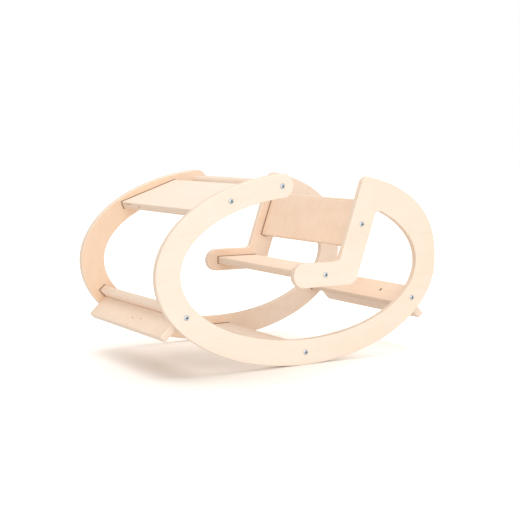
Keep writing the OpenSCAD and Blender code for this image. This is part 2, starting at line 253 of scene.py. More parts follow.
layers, given, made = new_group(
    "ply_layers",
    "ShaderNodeTree",
    [("Vector", "NodeSocketVector", None), ("Normal", "NodeSocketVector", None),
     ("Thickness", "NodeSocketFloat", 18 * MM), ("Plies", "NodeSocketFloat", 13.0)],
    [("Vector", "NodeSocketVector"), ("Face", "NodeSocketFloat"), ("End Grain", "NodeSocketFloat"),
     ("Glue", "NodeSocketFloat"), ("Ply Tone", "NodeSocketFloat"), ("Tilt", "NodeSocketFloat")],
)
place = add_node(layers, "ShaderNodeSeparateXYZ", {0: given.outputs["Vector"]}).outputs
facing = add_node(layers, "ShaderNodeSeparateXYZ", {0: given.outputs["Normal"]}).outputs
depth_share = calculate(
    layers, "ADD", calculate(layers, "DIVIDE", place["Z"], given.outputs["Thickness"]), 0.5
)
depth_share = remap(layers, depth_share, 0.001, 0.999, 0.001, 0.999)
depth = calculate(layers, "MULTIPLY", depth_share, given.outputs["Plies"])
ply = calculate(layers, "FLOOR", depth)
crosswise = calculate(layers, "MODULO", ply, 2.0)
from_middle = calculate(
    layers, "ABSOLUTE", calculate(layers, "SUBTRACT", calculate(layers, "FRACT", depth), 0.5)
)
flatness = remap(layers, calculate(layers, "ABSOLUTE", facing["Z"]), FLAT_FROM, FLAT_FULL)
from_core = calculate(layers, "ABSOLUTE", calculate(layers, "SUBTRACT", depth_share, 0.5))
core_half = calculate(
    layers, "SUBTRACT", 0.5, calculate(layers, "DIVIDE", 1.0, given.outputs["Plies"])
)
face = calculate(layers, "MAXIMUM", flatness, calculate(layers, "GREATER_THAN", from_core, core_half))
glue_line = remap(layers, from_middle, GLUE_FROM, 0.5)
glue = calculate(layers, "MULTIPLY", glue_line, calculate(layers, "SUBTRACT", 1.0, face))
end_grain = mix_numbers(
    layers, crosswise,
    calculate(layers, "ABSOLUTE", facing["X"]), calculate(layers, "ABSOLUTE", facing["Y"]),
)
turned = add_node(
    layers, "ShaderNodeCombineXYZ", {0: place["Y"], 1: place["X"], 2: place["Z"]}
).outputs[0]
along_grain = add_node(
    layers, "ShaderNodeMix", {0: crosswise, 4: given.outputs["Vector"], 5: turned}, data_type="VECTOR"
).outputs[1]
ply_tone = add_node(layers, "ShaderNodeTexWhiteNoise", {1: ply}, noise_dimensions="1D").outputs[0]
for name, value in (
    ("Vector", along_grain), ("Face", face), ("End Grain", end_grain), ("Glue", glue),
    ("Ply Tone", ply_tone), ("Tilt", calculate(layers, "SUBTRACT", 1.0, flatness)),
):
    layers.links.new(value, made.inputs[name])
print("Layer group:", len(layers.nodes), "nodes")

# %% [markdown]
# ## Pin knots, and painted shade in voids
#
# A peeled sheet crosses the tiny branch buds of the trunk, and each leaves a brown dot with a
# soft halo. The photograph shows three on the front stop plate. A knot is a distance from a
# point in the board, turned into a mask. The same group, stretched along the board, paints the
# shade inside the small voids of the table's front edge, which the mesh does not have.

# %% Node group for a pin knot and for the painted shade of a void
KNOT_CORE = 0.3
KNOT_HALO = 1.3

knot_and_void_shade_group, given, made = new_group(
    "pin_knot_and_void_shade",
    "ShaderNodeTree",
    [("Vector", "NodeSocketVector", None), ("Centre", "NodeSocketVector", None),
     ("Radius", "NodeSocketFloat", 2 * MM), ("Length Share", "NodeSocketFloat", 0.6),
     ("Mask", "NodeSocketFloat", 0.0)],
    [("Mask", "NodeSocketFloat")],
)
gap = add_node(
    knot_and_void_shade_group, "ShaderNodeVectorMath", {0: given.outputs["Vector"], 1: given.outputs["Centre"]},
    operation="SUBTRACT",
).outputs[0]
squeeze = add_node(
    knot_and_void_shade_group, "ShaderNodeCombineXYZ", {0: given.outputs["Length Share"], 1: 1.0, 2: 1.0}
).outputs[0]
gap = add_node(knot_and_void_shade_group, "ShaderNodeVectorMath", {0: gap, 1: squeeze}, operation="MULTIPLY").outputs[0]
distance = add_node(knot_and_void_shade_group, "ShaderNodeVectorMath", {0: gap}, operation="LENGTH").outputs["Value"]
share = calculate(knot_and_void_shade_group, "DIVIDE", distance, given.outputs["Radius"])
mask = remap(knot_and_void_shade_group, share, KNOT_CORE, KNOT_HALO, 1.0, 0.0)
knot_and_void_shade_group.links.new(
    calculate(knot_and_void_shade_group, "MAXIMUM", mask, given.outputs["Mask"]), made.inputs["Mask"]
)
print("Knot group:", len(knot_and_void_shade_group.nodes), "nodes")

# %% [markdown]
# ## Painted shade at the joints
#
# Where a board's eased end meets a panel, the two make a narrow groove. Light hardly gets in,
# so the photograph shows a thin dark line there. The groove is real geometry, and two masks
# paint more shade into it. One grows over the last few millimetres of a board, measured along
# its length. The other paints a dark outline around each board's end on the inner side of
# a panel.

# %% Node groups for the painted shade where a board meets a panel
JOINT_SHADE_CORE = 0.65
PRINT_SHADE_CORE = 0.5
PRINT_SHADE_DEPTH = 1.0 * MM

joint_shade_line, given, made = new_group(
    "joint_shade_line",
    "ShaderNodeTree",
    [("Vector", "NodeSocketVector", None), ("Half Length", "NodeSocketFloat", 0.2),
     ("Width", "NodeSocketFloat", 2 * MM)],
    [("Mask", "NodeSocketFloat")],
)
along = add_node(joint_shade_line, "ShaderNodeSeparateXYZ", {0: given.outputs["Vector"]}).outputs["X"]
left_over = calculate(
    joint_shade_line, "SUBTRACT", given.outputs["Half Length"], calculate(joint_shade_line, "ABSOLUTE", along)
)
share = calculate(joint_shade_line, "DIVIDE", left_over, given.outputs["Width"])
joint_shade_line.links.new(remap(joint_shade_line, share, JOINT_SHADE_CORE, 1.0, 1.0, 0.0), made.inputs["Mask"])

joint_shade_print, given, made = new_group(
    "joint_shade_print",
    "ShaderNodeTree",
    [("Vector", "NodeSocketVector", None), ("Half Length", "NodeSocketFloat", 0.2),
     ("Half Depth", "NodeSocketFloat", 0.05), ("Half Thickness", "NodeSocketFloat", 9 * MM),
     ("Width", "NodeSocketFloat", 2 * MM), ("Mask", "NodeSocketFloat", 0.0)],
    [("Mask", "NodeSocketFloat")],
)
place = add_node(joint_shade_print, "ShaderNodeSeparateXYZ", {0: given.outputs["Vector"]}).outputs
over = [
    calculate(joint_shade_print, "SUBTRACT", calculate(joint_shade_print, "ABSOLUTE", place[axis]), given.outputs[half])
    for axis, half in (("X", "Half Length"), ("Y", "Half Depth"), ("Z", "Half Thickness"))
]
beside = calculate(joint_shade_print, "MAXIMUM", over[1], over[2])
share = calculate(joint_shade_print, "DIVIDE", beside, given.outputs["Width"])
outline_shade = remap(joint_shade_print, share, PRINT_SHADE_CORE, 1.0, 1.0, 0.0)
inner_side = calculate(joint_shade_print, "LESS_THAN", over[0], PRINT_SHADE_DEPTH)
outline_shade = calculate(joint_shade_print, "MULTIPLY", outline_shade, inner_side)
joint_shade_print.links.new(
    calculate(joint_shade_print, "MAXIMUM", outline_shade, given.outputs["Mask"]), made.inputs["Mask"]
)
print("Joint groups:", len(joint_shade_line.nodes), "and", len(joint_shade_print.nodes), "nodes")

# %% [markdown]
# ## The plywood material
#
# Each board gets its own copy of the material, with its own warmth and marks. A Mapping node
# moves the pattern to the board's middle and turns it along the board. The colour starts as
# veneer, goes darker where fibres, flecks and glue lines are, and takes a browner tone on end
# grain. Knots, painted shade in the table's voids and painted shade at the joints lie over all that.

# %% Plywood
BIRCH_PALE = (0.94, 0.79, 0.665, 1)
BIRCH_WARM = (0.92, 0.70, 0.52, 1)
BIRCH_STREAK = (0.80, 0.55, 0.37, 1)
EDGE_TONE = (0.93, 0.80, 0.68, 1)
END_TONE = (0.86, 0.70, 0.56, 1)
DARK_PLY_TONE = (0.66, 0.47, 0.33, 1)
GLUE_TONE = (0.52, 0.38, 0.26, 1)
KNOT_AND_VOID_SHADE_TONE = (0.50, 0.27, 0.13, 1)
# JOINT_SHADE_TONE is painted shade: the dark inside the groove where a board meets a panel.
JOINT_SHADE_TONE = (0.20, 0.10, 0.045, 1)
JOINT_SHADE_WIDTH = 3.6 * MM
PRINT_SHADE_WIDTH = 2.4 * MM
PLY_THICKNESS = 18 * MM
WARMTH_SPREAD = 0.16
ROUNDING_SHARE = 0.25
PALE_PLY_SHARE = 0.5
DARK_PLY_SHARE = 0.45
EDGE_FIBRE_SHARE = 0.25
GLUE_SHARE = 0.40
KNOT_AND_VOID_SHADE_SHARE = 0.75
JOINT_SHADE_SHARE = 0.9
PRINT_SHADE_SHARE = 0.65
# Each figure of the veneer: its name, its range, its share and what full warmth adds to that
VENEER_FIGURES = (
    ("Bands", 0.0, 1.0, 0.06, 0.10), ("Flame", 0.35, 0.7, 0.05, 0.30),
    ("Fibres", 0.4, 0.75, 0.12, 0.0), ("Flecks", 0.0, 1.0, 0.25, 0.0),
)


def board_vectors(tree, board):
    """Object coordinates and the normal, both turned into the board's own directions."""
    coordinates = add_node(tree, "ShaderNodeTexCoord")
    turn = board.turn.to_euler()
    vector = add_node(
        tree, "ShaderNodeMapping",
        {"Vector": coordinates.outputs["Object"], "Location": board.middle, "Rotation": turn},
        vector_type="TEXTURE",
    )
    normal = add_node(
        tree, "ShaderNodeMapping",
        {"Vector": coordinates.outputs["Normal"], "Rotation": turn}, vector_type="TEXTURE",
    )
    return vector.outputs[0], normal.outputs[0]


def group_node(tree, group, inputs):
    """The outputs of a node that places a shader node group."""
    return add_node(tree, "ShaderNodeGroup", inputs, node_tree=group).outputs


def new_material(name):
    """A material with its Principled BSDF and output, and the node tree to fill."""
    material = bpy.data.materials.new(name)
    material.use_nodes = True
    tree = material.node_tree
    return material, tree, tree.nodes["Principled BSDF"]


def plywood(name, board, seed, warmth=0.0, lean_with_painted_light=0.0, knots_and_void_shades=(), joined=False, board_shade_outlines=()):
    """Birch plywood laid along one board.

    The veneer is browner by warmth, and by the lean more for each metre along the board; on the
    right panel the lean is painted light. A knot or a void is (along, across, through, radius,
    length share), and a void is painted shade. A joined board gets painted shade at its ends, and
    a panel gets painted shade around the outlines of the boards that meet it.
    """
    material, tree, surface = new_material(name)
    vector, normal = board_vectors(tree, board)
    ply = group_node(tree, layers, {"Vector": vector, "Normal": normal, "Thickness": PLY_THICKNESS})
    figure = group_node(tree, veneer, {"Vector": ply["Vector"], "Seed": (seed, 2.3 * seed, 0.7 * seed)})

    coolest, warmest = warmth - WARMTH_SPREAD, warmth + WARMTH_SPREAD
    warm_share = remap(tree, figure["Clouds"], 0.3, 0.7, coolest, warmest)
    # On the right panel the lean is painted light: the veneer goes paler towards the rear.
    if lean_with_painted_light:
        along_board = add_node(tree, "ShaderNodeSeparateXYZ", {0: vector}).outputs["X"]
        warm_share = calculate(tree, "ADD", warm_share, calculate(tree, "MULTIPLY", along_board, lean_with_painted_light))
    warm_share = calculate(tree, "MAXIMUM", warm_share, 0.0)
    colour = mix_colours(tree, warm_share, BIRCH_PALE, BIRCH_WARM)
    for figure_name, low, high, plain_share, warm_extra in VENEER_FIGURES:
        share = remap(tree, figure[figure_name], low, high, 0.0, plain_share + warm_extra * warmth)
        colour = mix_colours(tree, share, colour, BIRCH_STREAK)
    colour = mix_colours(tree, calculate(tree, "MULTIPLY", ply["Tilt"], ROUNDING_SHARE), colour, EDGE_TONE)

    edge = mix_colours(tree, ply["End Grain"], EDGE_TONE, END_TONE)
    for value, from_low, from_high, share_low, share_high, tone in (
        (ply["Ply Tone"], 0.0, 0.6, PALE_PLY_SHARE, 0.0, BIRCH_PALE),
        (ply["Ply Tone"], 0.6, 0.8, 0.0, DARK_PLY_SHARE, DARK_PLY_TONE),
        (figure["Fibres"], 0.4, 0.75, 0.0, EDGE_FIBRE_SHARE, END_TONE),
        (ply["Glue"], 0.0, 1.0, 0.0, GLUE_SHARE, GLUE_TONE),
    ):
        edge = mix_colours(tree, remap(tree, value, from_low, from_high, share_low, share_high), edge, tone)
    colour = mix_colours(tree, ply["Face"], edge, colour)

    mask = 0.0
    for along, across, through, radius, length_share in knots_and_void_shades:
        inputs = {
            "Vector": vector, "Centre": (along, across, through), "Radius": radius,
            "Length Share": length_share, "Mask": mask,
        }
        mask = group_node(tree, knot_and_void_shade_group, inputs)["Mask"]
    # Knots are brown dots in the veneer; the table's voids are painted shade.
    if knots_and_void_shades:
        colour = mix_colours(tree, calculate(tree, "MULTIPLY", mask, KNOT_AND_VOID_SHADE_SHARE), colour, KNOT_AND_VOID_SHADE_TONE)

    # Painted shade: the last millimetres of a joined board darken like the inside of the groove.
    if joined:
        end_shade_mask = group_node(
            tree, joint_shade_line, {"Vector": vector, "Half Length": board.size.x / 2, "Width": JOINT_SHADE_WIDTH}
        )["Mask"]
        colour = mix_colours(tree, calculate(tree, "MULTIPLY", end_shade_mask, JOINT_SHADE_SHARE), colour, JOINT_SHADE_TONE)
    # Painted shade: a dark outline on the panel around each board that meets it, like a contact shadow.
    print_shade_mask = 0.0
    for crossing in board_shade_outlines:
        inputs = {
            "Vector": board_vectors(tree, crossing)[0], "Half Length": crossing.size.x / 2,
            "Half Depth": crossing.size.y / 2, "Half Thickness": crossing.size.z / 2,
            "Width": PRINT_SHADE_WIDTH, "Mask": print_shade_mask,
        }
        print_shade_mask = group_node(tree, joint_shade_print, inputs)["Mask"]
    if board_shade_outlines:
        print_shade_share = calculate(tree, "MULTIPLY", print_shade_mask, PRINT_SHADE_SHARE)
        colour = mix_colours(tree, print_shade_share, colour, JOINT_SHADE_TONE)

    tree.links.new(colour, surface.inputs["Base Color"])
    roughness = remap(tree, figure["Fibres"], 0.3, 0.8, 0.50, 0.64)
    tree.links.new(roughness, surface.inputs["Roughness"])
    surface.inputs["Specular IOR Level"].default_value = 0.4
    height = calculate(tree, "SUBTRACT", figure["Fibres"], calculate(tree, "MULTIPLY", ply["Glue"], 0.6))
    bump = add_node(
        tree, "ShaderNodeBump", {"Height": height, "Strength": 0.2, "Distance": 0.15 * MM}
    ).outputs[0]
    tree.links.new(bump, surface.inputs["Normal"])
    return material


# %% [markdown]
# ## Side panels
#
# A panel is one sheet cut along its outline, with every edge rounded over. Its shape follows a
# rule: the outline, drawn in by a little on the way out to each face. That is a loft, and
# Geometry Nodes can make it from the outline alone. A grid has one column for each point of the
# outline and one row for each step of the rounding, and Set Position bends it into the rim.
# Two filled curves close it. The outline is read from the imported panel, so the two always agree.


# %% Read an outline from a packed panel
def outline_of(node_name):
    """The panel's outline as [x, z] points in order, read from the edge of its outer face."""
    bm = bmesh.new()
    bm.from_mesh(nodes[node_name].data)
    bmesh.ops.remove_doubles(bm, verts=bm.verts, dist=1e-6)
    side = min(v.co.y for v in bm.verts)
    rim = [
        e for e in bm.edges
        if all(abs(v.co.y - side) < 1e-5 for v in e.verts) and e.calc_face_angle(0) > math.radians(60)
    ]
    neighbours = {}
    for e in rim:
        a, b = e.verts
        neighbours.setdefault(a, []).append(b)
        neighbours.setdefault(b, []).append(a)
    loops, seen = [], set()
    for start in neighbours:
        if start in seen:
            continue
        loop, here, before = [], start, None
        while here is not None and here not in seen:
            seen.add(here)
            loop.append((here.co.x, here.co.z))
            ahead = [v for v in neighbours[here] if v is not before and v not in seen]
            before, here = here, (ahead[0] if ahead else None)
        loops.append(loop)
    bm.free()
    return max(loops, key=len)


def without_straight_points(points, tolerance=1e-6):
    """The outline without points that lie on the line between their neighbours."""
    kept = []
    for i, p in enumerate(points):
        a, b = Vector(points[i - 1]), Vector(points[(i + 1) % len(points)])
        if abs((Vector(p) - a).cross(b - a)) > tolerance * (b - a).length:
            kept.append(p)
    return kept


panel_outline = without_straight_points(outline_of("side_panel_left"))
print("Panel outline:", len(panel_outline), "points")

# %% [markdown]
# The tree below keeps its sizes as named inputs: the thickness, the radius of the rounding and
# the number of steps in it. Everything happens in the XY plane, where Fill Curve works, and one
# turn at the end stands the sheet upright.

# %% Geometry Nodes tree for a rounded sheet
sheet_tree, given, made = new_group(
    "rounded_sheet",
    "GeometryNodeTree",
    [("Geometry", "NodeSocketGeometry", None), ("Thickness", "NodeSocketFloat", 18 * MM),
     ("Edge Radius", "NodeSocketFloat", 3 * MM), ("Steps", "NodeSocketInt", 4),
     ("Material", "NodeSocketMaterial", None)],
    [("Geometry", "NodeSocketGeometry")],
)
sheet_tree.is_modifier = True
t = sheet_tree
curve = add_node(t, "GeometryNodeMeshToCurve", {0: given.outputs["Geometry"]}).outputs[0]
tangent = add_node(t, "GeometryNodeInputTangent").outputs[0]
leftwards = add_node(
    t, "ShaderNodeVectorMath", {0: tangent, 1: (0, 0, 1)}, operation="CROSS_PRODUCT"
).outputs[0]
captured = t.nodes.new("GeometryNodeCaptureAttribute")
captured.capture_items.new("VECTOR", "Outward")
t.links.new(curve, captured.inputs["Geometry"])
t.links.new(leftwards, captured.inputs["Outward"])
point_count = add_node(
    t, "GeometryNodeAttributeDomainSize", {0: captured.outputs["Geometry"]}, component="CURVE"
).outputs["Point Count"]
rows = calculate(t, "MULTIPLY", calculate(t, "ADD", given.outputs["Steps"], 1.0), 2.0)
grid = add_node(
    t, "GeometryNodeMeshGrid",
    {"Vertices X": calculate(t, "ADD", point_count, 1.0), "Vertices Y": rows},
).outputs["Mesh"]
index = add_node(t, "GeometryNodeInputIndex").outputs[0]
row = calculate(t, "MODULO", index, rows)
columns_before = calculate(t, "FLOOR", calculate(t, "DIVIDE", calculate(t, "ADD", index, 0.5), rows))
column = calculate(t, "MODULO", columns_before, point_count)


def sampled(value):
    """A vector of the curve's points at this column."""
    return add_node(
        t, "GeometryNodeSampleIndex",
        {"Geometry": captured.outputs["Geometry"], "Value": value, "Index": column},
        data_type="FLOAT_VECTOR", domain="POINT",
    ).outputs[0]


outline_point = sampled(add_node(t, "GeometryNodeInputPosition").outputs[0])
outward = sampled(captured.outputs["Outward"])
lower_row = calculate(t, "LESS_THAN", row, calculate(t, "ADD", given.outputs["Steps"], 0.5))
row_from_top = calculate(t, "SUBTRACT", calculate(t, "SUBTRACT", rows, 1.0), row)
step = mix_numbers(t, lower_row, row_from_top, row)
quarter = calculate(
    t, "MULTIPLY", calculate(t, "DIVIDE", step, given.outputs["Steps"]), math.pi / 2
)
radius = given.outputs["Edge Radius"]
drawn_in = calculate(
    t, "MULTIPLY", radius, calculate(t, "SUBTRACT", 1.0, calculate(t, "SINE", quarter))
)
from_face = calculate(
    t, "MULTIPLY", radius, calculate(t, "SUBTRACT", 1.0, calculate(t, "COSINE", quarter))
)
half = calculate(t, "DIVIDE", given.outputs["Thickness"], 2.0)
level = calculate(t, "SUBTRACT", half, from_face)
side_sign = calculate(t, "SUBTRACT", calculate(t, "MULTIPLY", lower_row, -2.0), -1.0)
level = calculate(t, "MULTIPLY", level, side_sign)
inward_length = calculate(t, "MULTIPLY", drawn_in, -1.0)
inward = add_node(
    t, "ShaderNodeVectorMath", {0: outward, "Scale": inward_length}, operation="SCALE"
).outputs[0]
height_vector = add_node(t, "ShaderNodeCombineXYZ", {2: level}).outputs[0]
bent = add_node(t, "ShaderNodeVectorMath", {0: outline_point, 1: inward}, operation="ADD").outputs[0]
bent = add_node(t, "ShaderNodeVectorMath", {0: bent, 1: height_vector}, operation="ADD").outputs[0]
rim = add_node(t, "GeometryNodeSetPosition", {"Geometry": grid, "Position": bent}).outputs[0]

shrink = add_node(
    t, "ShaderNodeVectorMath",
    {0: captured.outputs["Outward"], "Scale": calculate(t, "MULTIPLY", radius, -1.0)}, operation="SCALE",
).outputs[0]
face_curve = add_node(
    t, "GeometryNodeSetPosition", {"Geometry": captured.outputs["Geometry"], "Offset": shrink}
).outputs[0]
face_mesh = add_node(t, "GeometryNodeFillCurve", {0: face_curve}, mode="NGONS").outputs[0]
up = add_node(t, "ShaderNodeCombineXYZ", {2: half}).outputs[0]
down = add_node(t, "ShaderNodeCombineXYZ", {2: calculate(t, "MULTIPLY", half, -1.0)}).outputs[0]
upper = add_node(t, "GeometryNodeTransform", {"Geometry": face_mesh, "Translation": up}).outputs[0]
lower = add_node(t, "GeometryNodeTransform", {"Geometry": face_mesh, "Translation": down}).outputs[0]
lower = add_node(t, "GeometryNodeFlipFaces", {0: lower}).outputs[0]
joined = add_node(t, "GeometryNodeJoinGeometry")
for part in (lower, upper, rim):
    t.links.new(part, joined.inputs[0])
closed = add_node(
    t, "GeometryNodeMergeByDistance", {"Geometry": joined.outputs[0], "Distance": 0.01 * MM}
).outputs[0]
upright = add_node(
    t, "GeometryNodeTransform", {"Geometry": closed, "Rotation": (math.pi / 2, 0, 0)}
).outputs[0]
smooth = add_node(t, "GeometryNodeSetShadeSmooth", {"Geometry": upright}).outputs[0]
realized = add_node(t, "GeometryNodeRealizeInstances", {0: smooth}).outputs[0]
coloured = add_node(
    t, "GeometryNodeSetMaterial", {"Geometry": realized, "Material": given.outputs["Material"]}
).outputs[0]
t.links.new(coloured, made.inputs[0])
print("Sheet tree:", len(t.nodes), "nodes")


# %% Helpers to run a tree and to finish a piece
def run_tree(name, start_mesh, tree, values):
    """The mesh that a Geometry Nodes tree makes of start_mesh, as a new plain object."""
    source = bpy.data.objects.new(name + "_source", start_mesh)
    bpy.context.scene.collection.objects.link(source)
    modifier = source.modifiers.new("shape", "NODES")
    modifier.node_group = tree
    for item in tree.interface.items_tree:
        if item.item_type == "SOCKET" and item.in_out == "INPUT" and item.name in values:
            modifier[item.identifier] = values[item.name]
    bpy.context.view_layer.update()
    evaluated = source.evaluated_get(bpy.context.evaluated_depsgraph_get())
    mesh = bpy.data.meshes.new_from_object(evaluated)
    mesh.name = name
    bpy.data.objects.remove(source)
    piece = bpy.data.objects.new(name, mesh)
    bpy.context.scene.collection.objects.link(piece)
    return piece


def outward_faces(mesh):
    """Turns every face of a closed mesh outwards."""
    bm = bmesh.new()
    bm.from_mesh(mesh)
    bmesh.ops.recalc_face_normals(bm, faces=bm.faces)
    bm.to_mesh(mesh)
    bm.free()


def flat_sides_win(piece):
    """Shades roundings from the flat sides beside them, so the sides stay plain."""
    modifier = piece.modifiers.new("weighted normals", "WEIGHTED_NORMAL")
    modifier.keep_sharp = True
    modifier.weight = 100


def show(piece, slot, *replaced):
    """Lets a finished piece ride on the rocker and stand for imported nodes."""
    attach(piece, BODY)
    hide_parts(*replaced)
    print(piece.name, "has", len(piece.data.polygons), "faces")


# %% Make both panels
EDGE_RADIUS = 3 * MM
EDGE_STEPS = 4
PANEL_WARMTH = {"side_panel_left": 0.0, "side_panel_right": 0.5}
# The lean on the right panel is painted light: its veneer goes paler towards the rear, where less lamp
# light reaches it. On the left panel it warms the veneer towards the rear.
PANEL_LEAN_WITH_PAINTED_LIGHT = {"side_panel_left": 0.7, "side_panel_right": -2.2}
joined_boards = [boards[name] for name in CROSS_BOARDS if not name.endswith("plate")]
for seed, name in enumerate(PANELS, 1):
    board = boards[name]
    loop_mesh = bpy.data.meshes.new(name + "_outline")
    count = len(panel_outline)
    loop_edges = [(i, (i + 1) % count) for i in range(count)]
    loop_mesh.from_pydata([(x, z, 0) for x, z in panel_outline], loop_edges, [])
    material = plywood(
        name + "_plywood", board, 3.1 * seed, PANEL_WARMTH[name], PANEL_LEAN_WITH_PAINTED_LIGHT[name], board_shade_outlines=joined_boards
    )
    piece = run_tree(
        name + "_sheet", loop_mesh, sheet_tree,
        {"Thickness": board.size.z, "Edge Radius": EDGE_RADIUS, "Steps": EDGE_STEPS, "Material": material},
    )
    piece.data.transform(Matrix.Translation((0, board.middle.y, 0)))
    outward_faces(piece.data)
    flat_sides_win(piece)
    show(piece, "birch_plywood", name)

# %% [markdown]
# ## Cross boards
#
# The boards are sawn rectangles with softened edges and bored ends. Their holes for the barrel
# nuts show from below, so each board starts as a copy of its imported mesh. The copy is merged and
# its flat sides are made whole again, and then only the long outer edges get a bevel: the edges
# of a hole form a short loop, and they stay sharp as drilled.


# %% Soften a copy of a packed board
LONGEST_HOLE_RIM = 0.1
FLAT_WITHIN_DEG = 0.5
EDGE_FROM_DEG = 30
SHARP_FROM_DEG = 35


def softened_board(node_name, name, radius, steps):
    """A copy of a packed board with rounded outer edges and its drilled holes as they are."""
    mesh = bpy.data.meshes.new(name)
    bm = bmesh.new()
    bm.from_mesh(nodes[node_name].data)
    bmesh.ops.remove_doubles(bm, verts=bm.verts, dist=1e-6)
    flat_within = math.radians(FLAT_WITHIN_DEG)
    bmesh.ops.dissolve_limit(bm, angle_limit=flat_within, verts=bm.verts, edges=bm.edges)
    sharp = {e for e in bm.edges if e.calc_face_angle(0) > math.radians(EDGE_FROM_DEG)}
    outer = []
    while sharp:
        chain, queue = [], [sharp.pop()]
        while queue:
            edge = queue.pop()
            chain.append(edge)
            touching = {e for v in edge.verts for e in v.link_edges} & sharp
            sharp -= touching
            queue.extend(touching)
        if sum(e.calc_length() for e in chain) > LONGEST_HOLE_RIM:
            outer.extend(chain)
    bmesh.ops.bevel(
        bm, geom=outer, offset=radius, segments=steps, profile=0.5, affect="EDGES", clamp_overlap=True
    )
    for face in bm.faces:
        face.smooth = True
    bm.to_mesh(mesh)
    bm.free()
    mesh.set_sharp_from_angle(angle=math.radians(SHARP_FROM_DEG))
    piece = bpy.data.objects.new(name, mesh)
    bpy.context.scene.collection.objects.link(piece)
    return piece


BOARD_EDGE_RADIUS = 2.5 * MM
BOARD_EDGE_STEPS = 3
FACE = PLY_THICKNESS / 2
PLATE_KNOTS = (
    (-0.016, 0.004, FACE, 3.0 * MM, 0.6), (-0.056, 0.0, FACE, 2.2 * MM, 0.6),
    (-0.016, 0.025, FACE, 1.8 * MM, 0.6),
)
# Painted shade: the table's voids are dark spots for the shade inside holes that the mesh does not have.
TABLE_VOID_SHADES = ((0.166, 0.080, 0.004, 1.8 * MM, 0.08), (0.105, 0.080, 0.0, 2.6 * MM, 0.4))
SMALL_MARKS = {"front_stop_plate": PLATE_KNOTS, "table_board": TABLE_VOID_SHADES}
BOARD_WARMTH = {
    "table_board": 0.05, "seat_board": 0.3, "backrest_board": 0.55, "foot_board": 0.0,
    "front_stop_rail": 0.2, "front_stop_plate": 0.3, "rear_stop_rail": 0.45, "rear_stop_plate": 0.1,
}
for seed, name in enumerate(CROSS_BOARDS, 1):
    knots_and_void_shades = SMALL_MARKS.get(name, ())
    joined = not name.endswith("plate")
    piece = softened_board(name, name + "_softened", BOARD_EDGE_RADIUS, BOARD_EDGE_STEPS)
    material = plywood(
        name + "_plywood", boards[name], 5.7 + 1.9 * seed, BOARD_WARMTH[name], knots_and_void_shades=knots_and_void_shades, joined=joined
    )
    piece.data.materials.clear()
    piece.data.materials.append(material)
    flat_sides_win(piece)
    show(piece, "birch_plywood", name)

# %% [markdown]
# ## A lathe made of Geometry Nodes
#
# The grip bar and the bolts are turned shapes, and a lathe is the same idea as the sheet above: a
# grid whose rows follow a profile and whose columns go round. The profile is a small mesh of
# points, where X is the radius and Z the height. An attribute called hex says how far a row is
# pulled from a circle to a hexagon, which cuts the socket of a bolt with the same tree. The
# finished mesh keeps it under the name socket, so that the metal can be painted with shade in
# there. The result is instanced on seat points, each with its own outward direction.

# %% Geometry Nodes tree for turned pieces
lathe, given, made = new_group(
    "lathe_on_points",
    "GeometryNodeTree",
    [("Geometry", "NodeSocketGeometry", None), ("Profile", "NodeSocketObject", None),
     ("Segments", "NodeSocketInt", 48), ("Material", "NodeSocketMaterial", None)],
    [("Geometry", "NodeSocketGeometry")],
)
lathe.is_modifier = True
t = lathe
profile = add_node(t, "GeometryNodeObjectInfo", {"Object": given.outputs["Profile"]}).outputs["Geometry"]
rows = add_node(t, "GeometryNodeAttributeDomainSize", {0: profile}, component="MESH").outputs["Point Count"]
segments = given.outputs["Segments"]
grid = add_node(
    t, "GeometryNodeMeshGrid", {"Vertices X": calculate(t, "ADD", segments, 1.0), "Vertices Y": rows}
).outputs["Mesh"]
index = add_node(t, "GeometryNodeInputIndex").outputs[0]
row = calculate(t, "MODULO", index, rows)
column = calculate(t, "FLOOR", calculate(t, "DIVIDE", calculate(t, "ADD", index, 0.5), rows))
angle = calculate(t, "MULTIPLY", calculate(t, "DIVIDE", column, segments), 2 * math.pi)


def from_profile(value, kind):
    """A value of the profile's points at this row."""
    return add_node(
        t, "GeometryNodeSampleIndex", {"Geometry": profile, "Value": value, "Index": row},
        data_type=kind, domain="POINT",
    ).outputs[0]


place = add_node(
    t, "ShaderNodeSeparateXYZ",
    {0: from_profile(add_node(t, "GeometryNodeInputPosition").outputs[0], "FLOAT_VECTOR")},
).outputs
hexness = from_profile(
    add_node(t, "GeometryNodeInputNamedAttribute", {"Name": "hex"}, data_type="FLOAT").outputs[0], "FLOAT"
)
sixth = math.pi / 3
off_corner = calculate(t, "SUBTRACT", calculate(t, "MODULO", angle, sixth), sixth / 2)
flat_share = calculate(t, "DIVIDE", math.cos(sixth / 2), calculate(t, "COSINE", off_corner))
reach = calculate(t, "MULTIPLY", place["X"], mix_numbers(t, hexness, 1.0, flat_share))
turned = add_node(
    t, "ShaderNodeCombineXYZ",
    {0: calculate(t, "MULTIPLY", reach, calculate(t, "COSINE", angle)),
     1: calculate(t, "MULTIPLY", reach, calculate(t, "SINE", angle)), 2: place["Z"]},
).outputs[0]
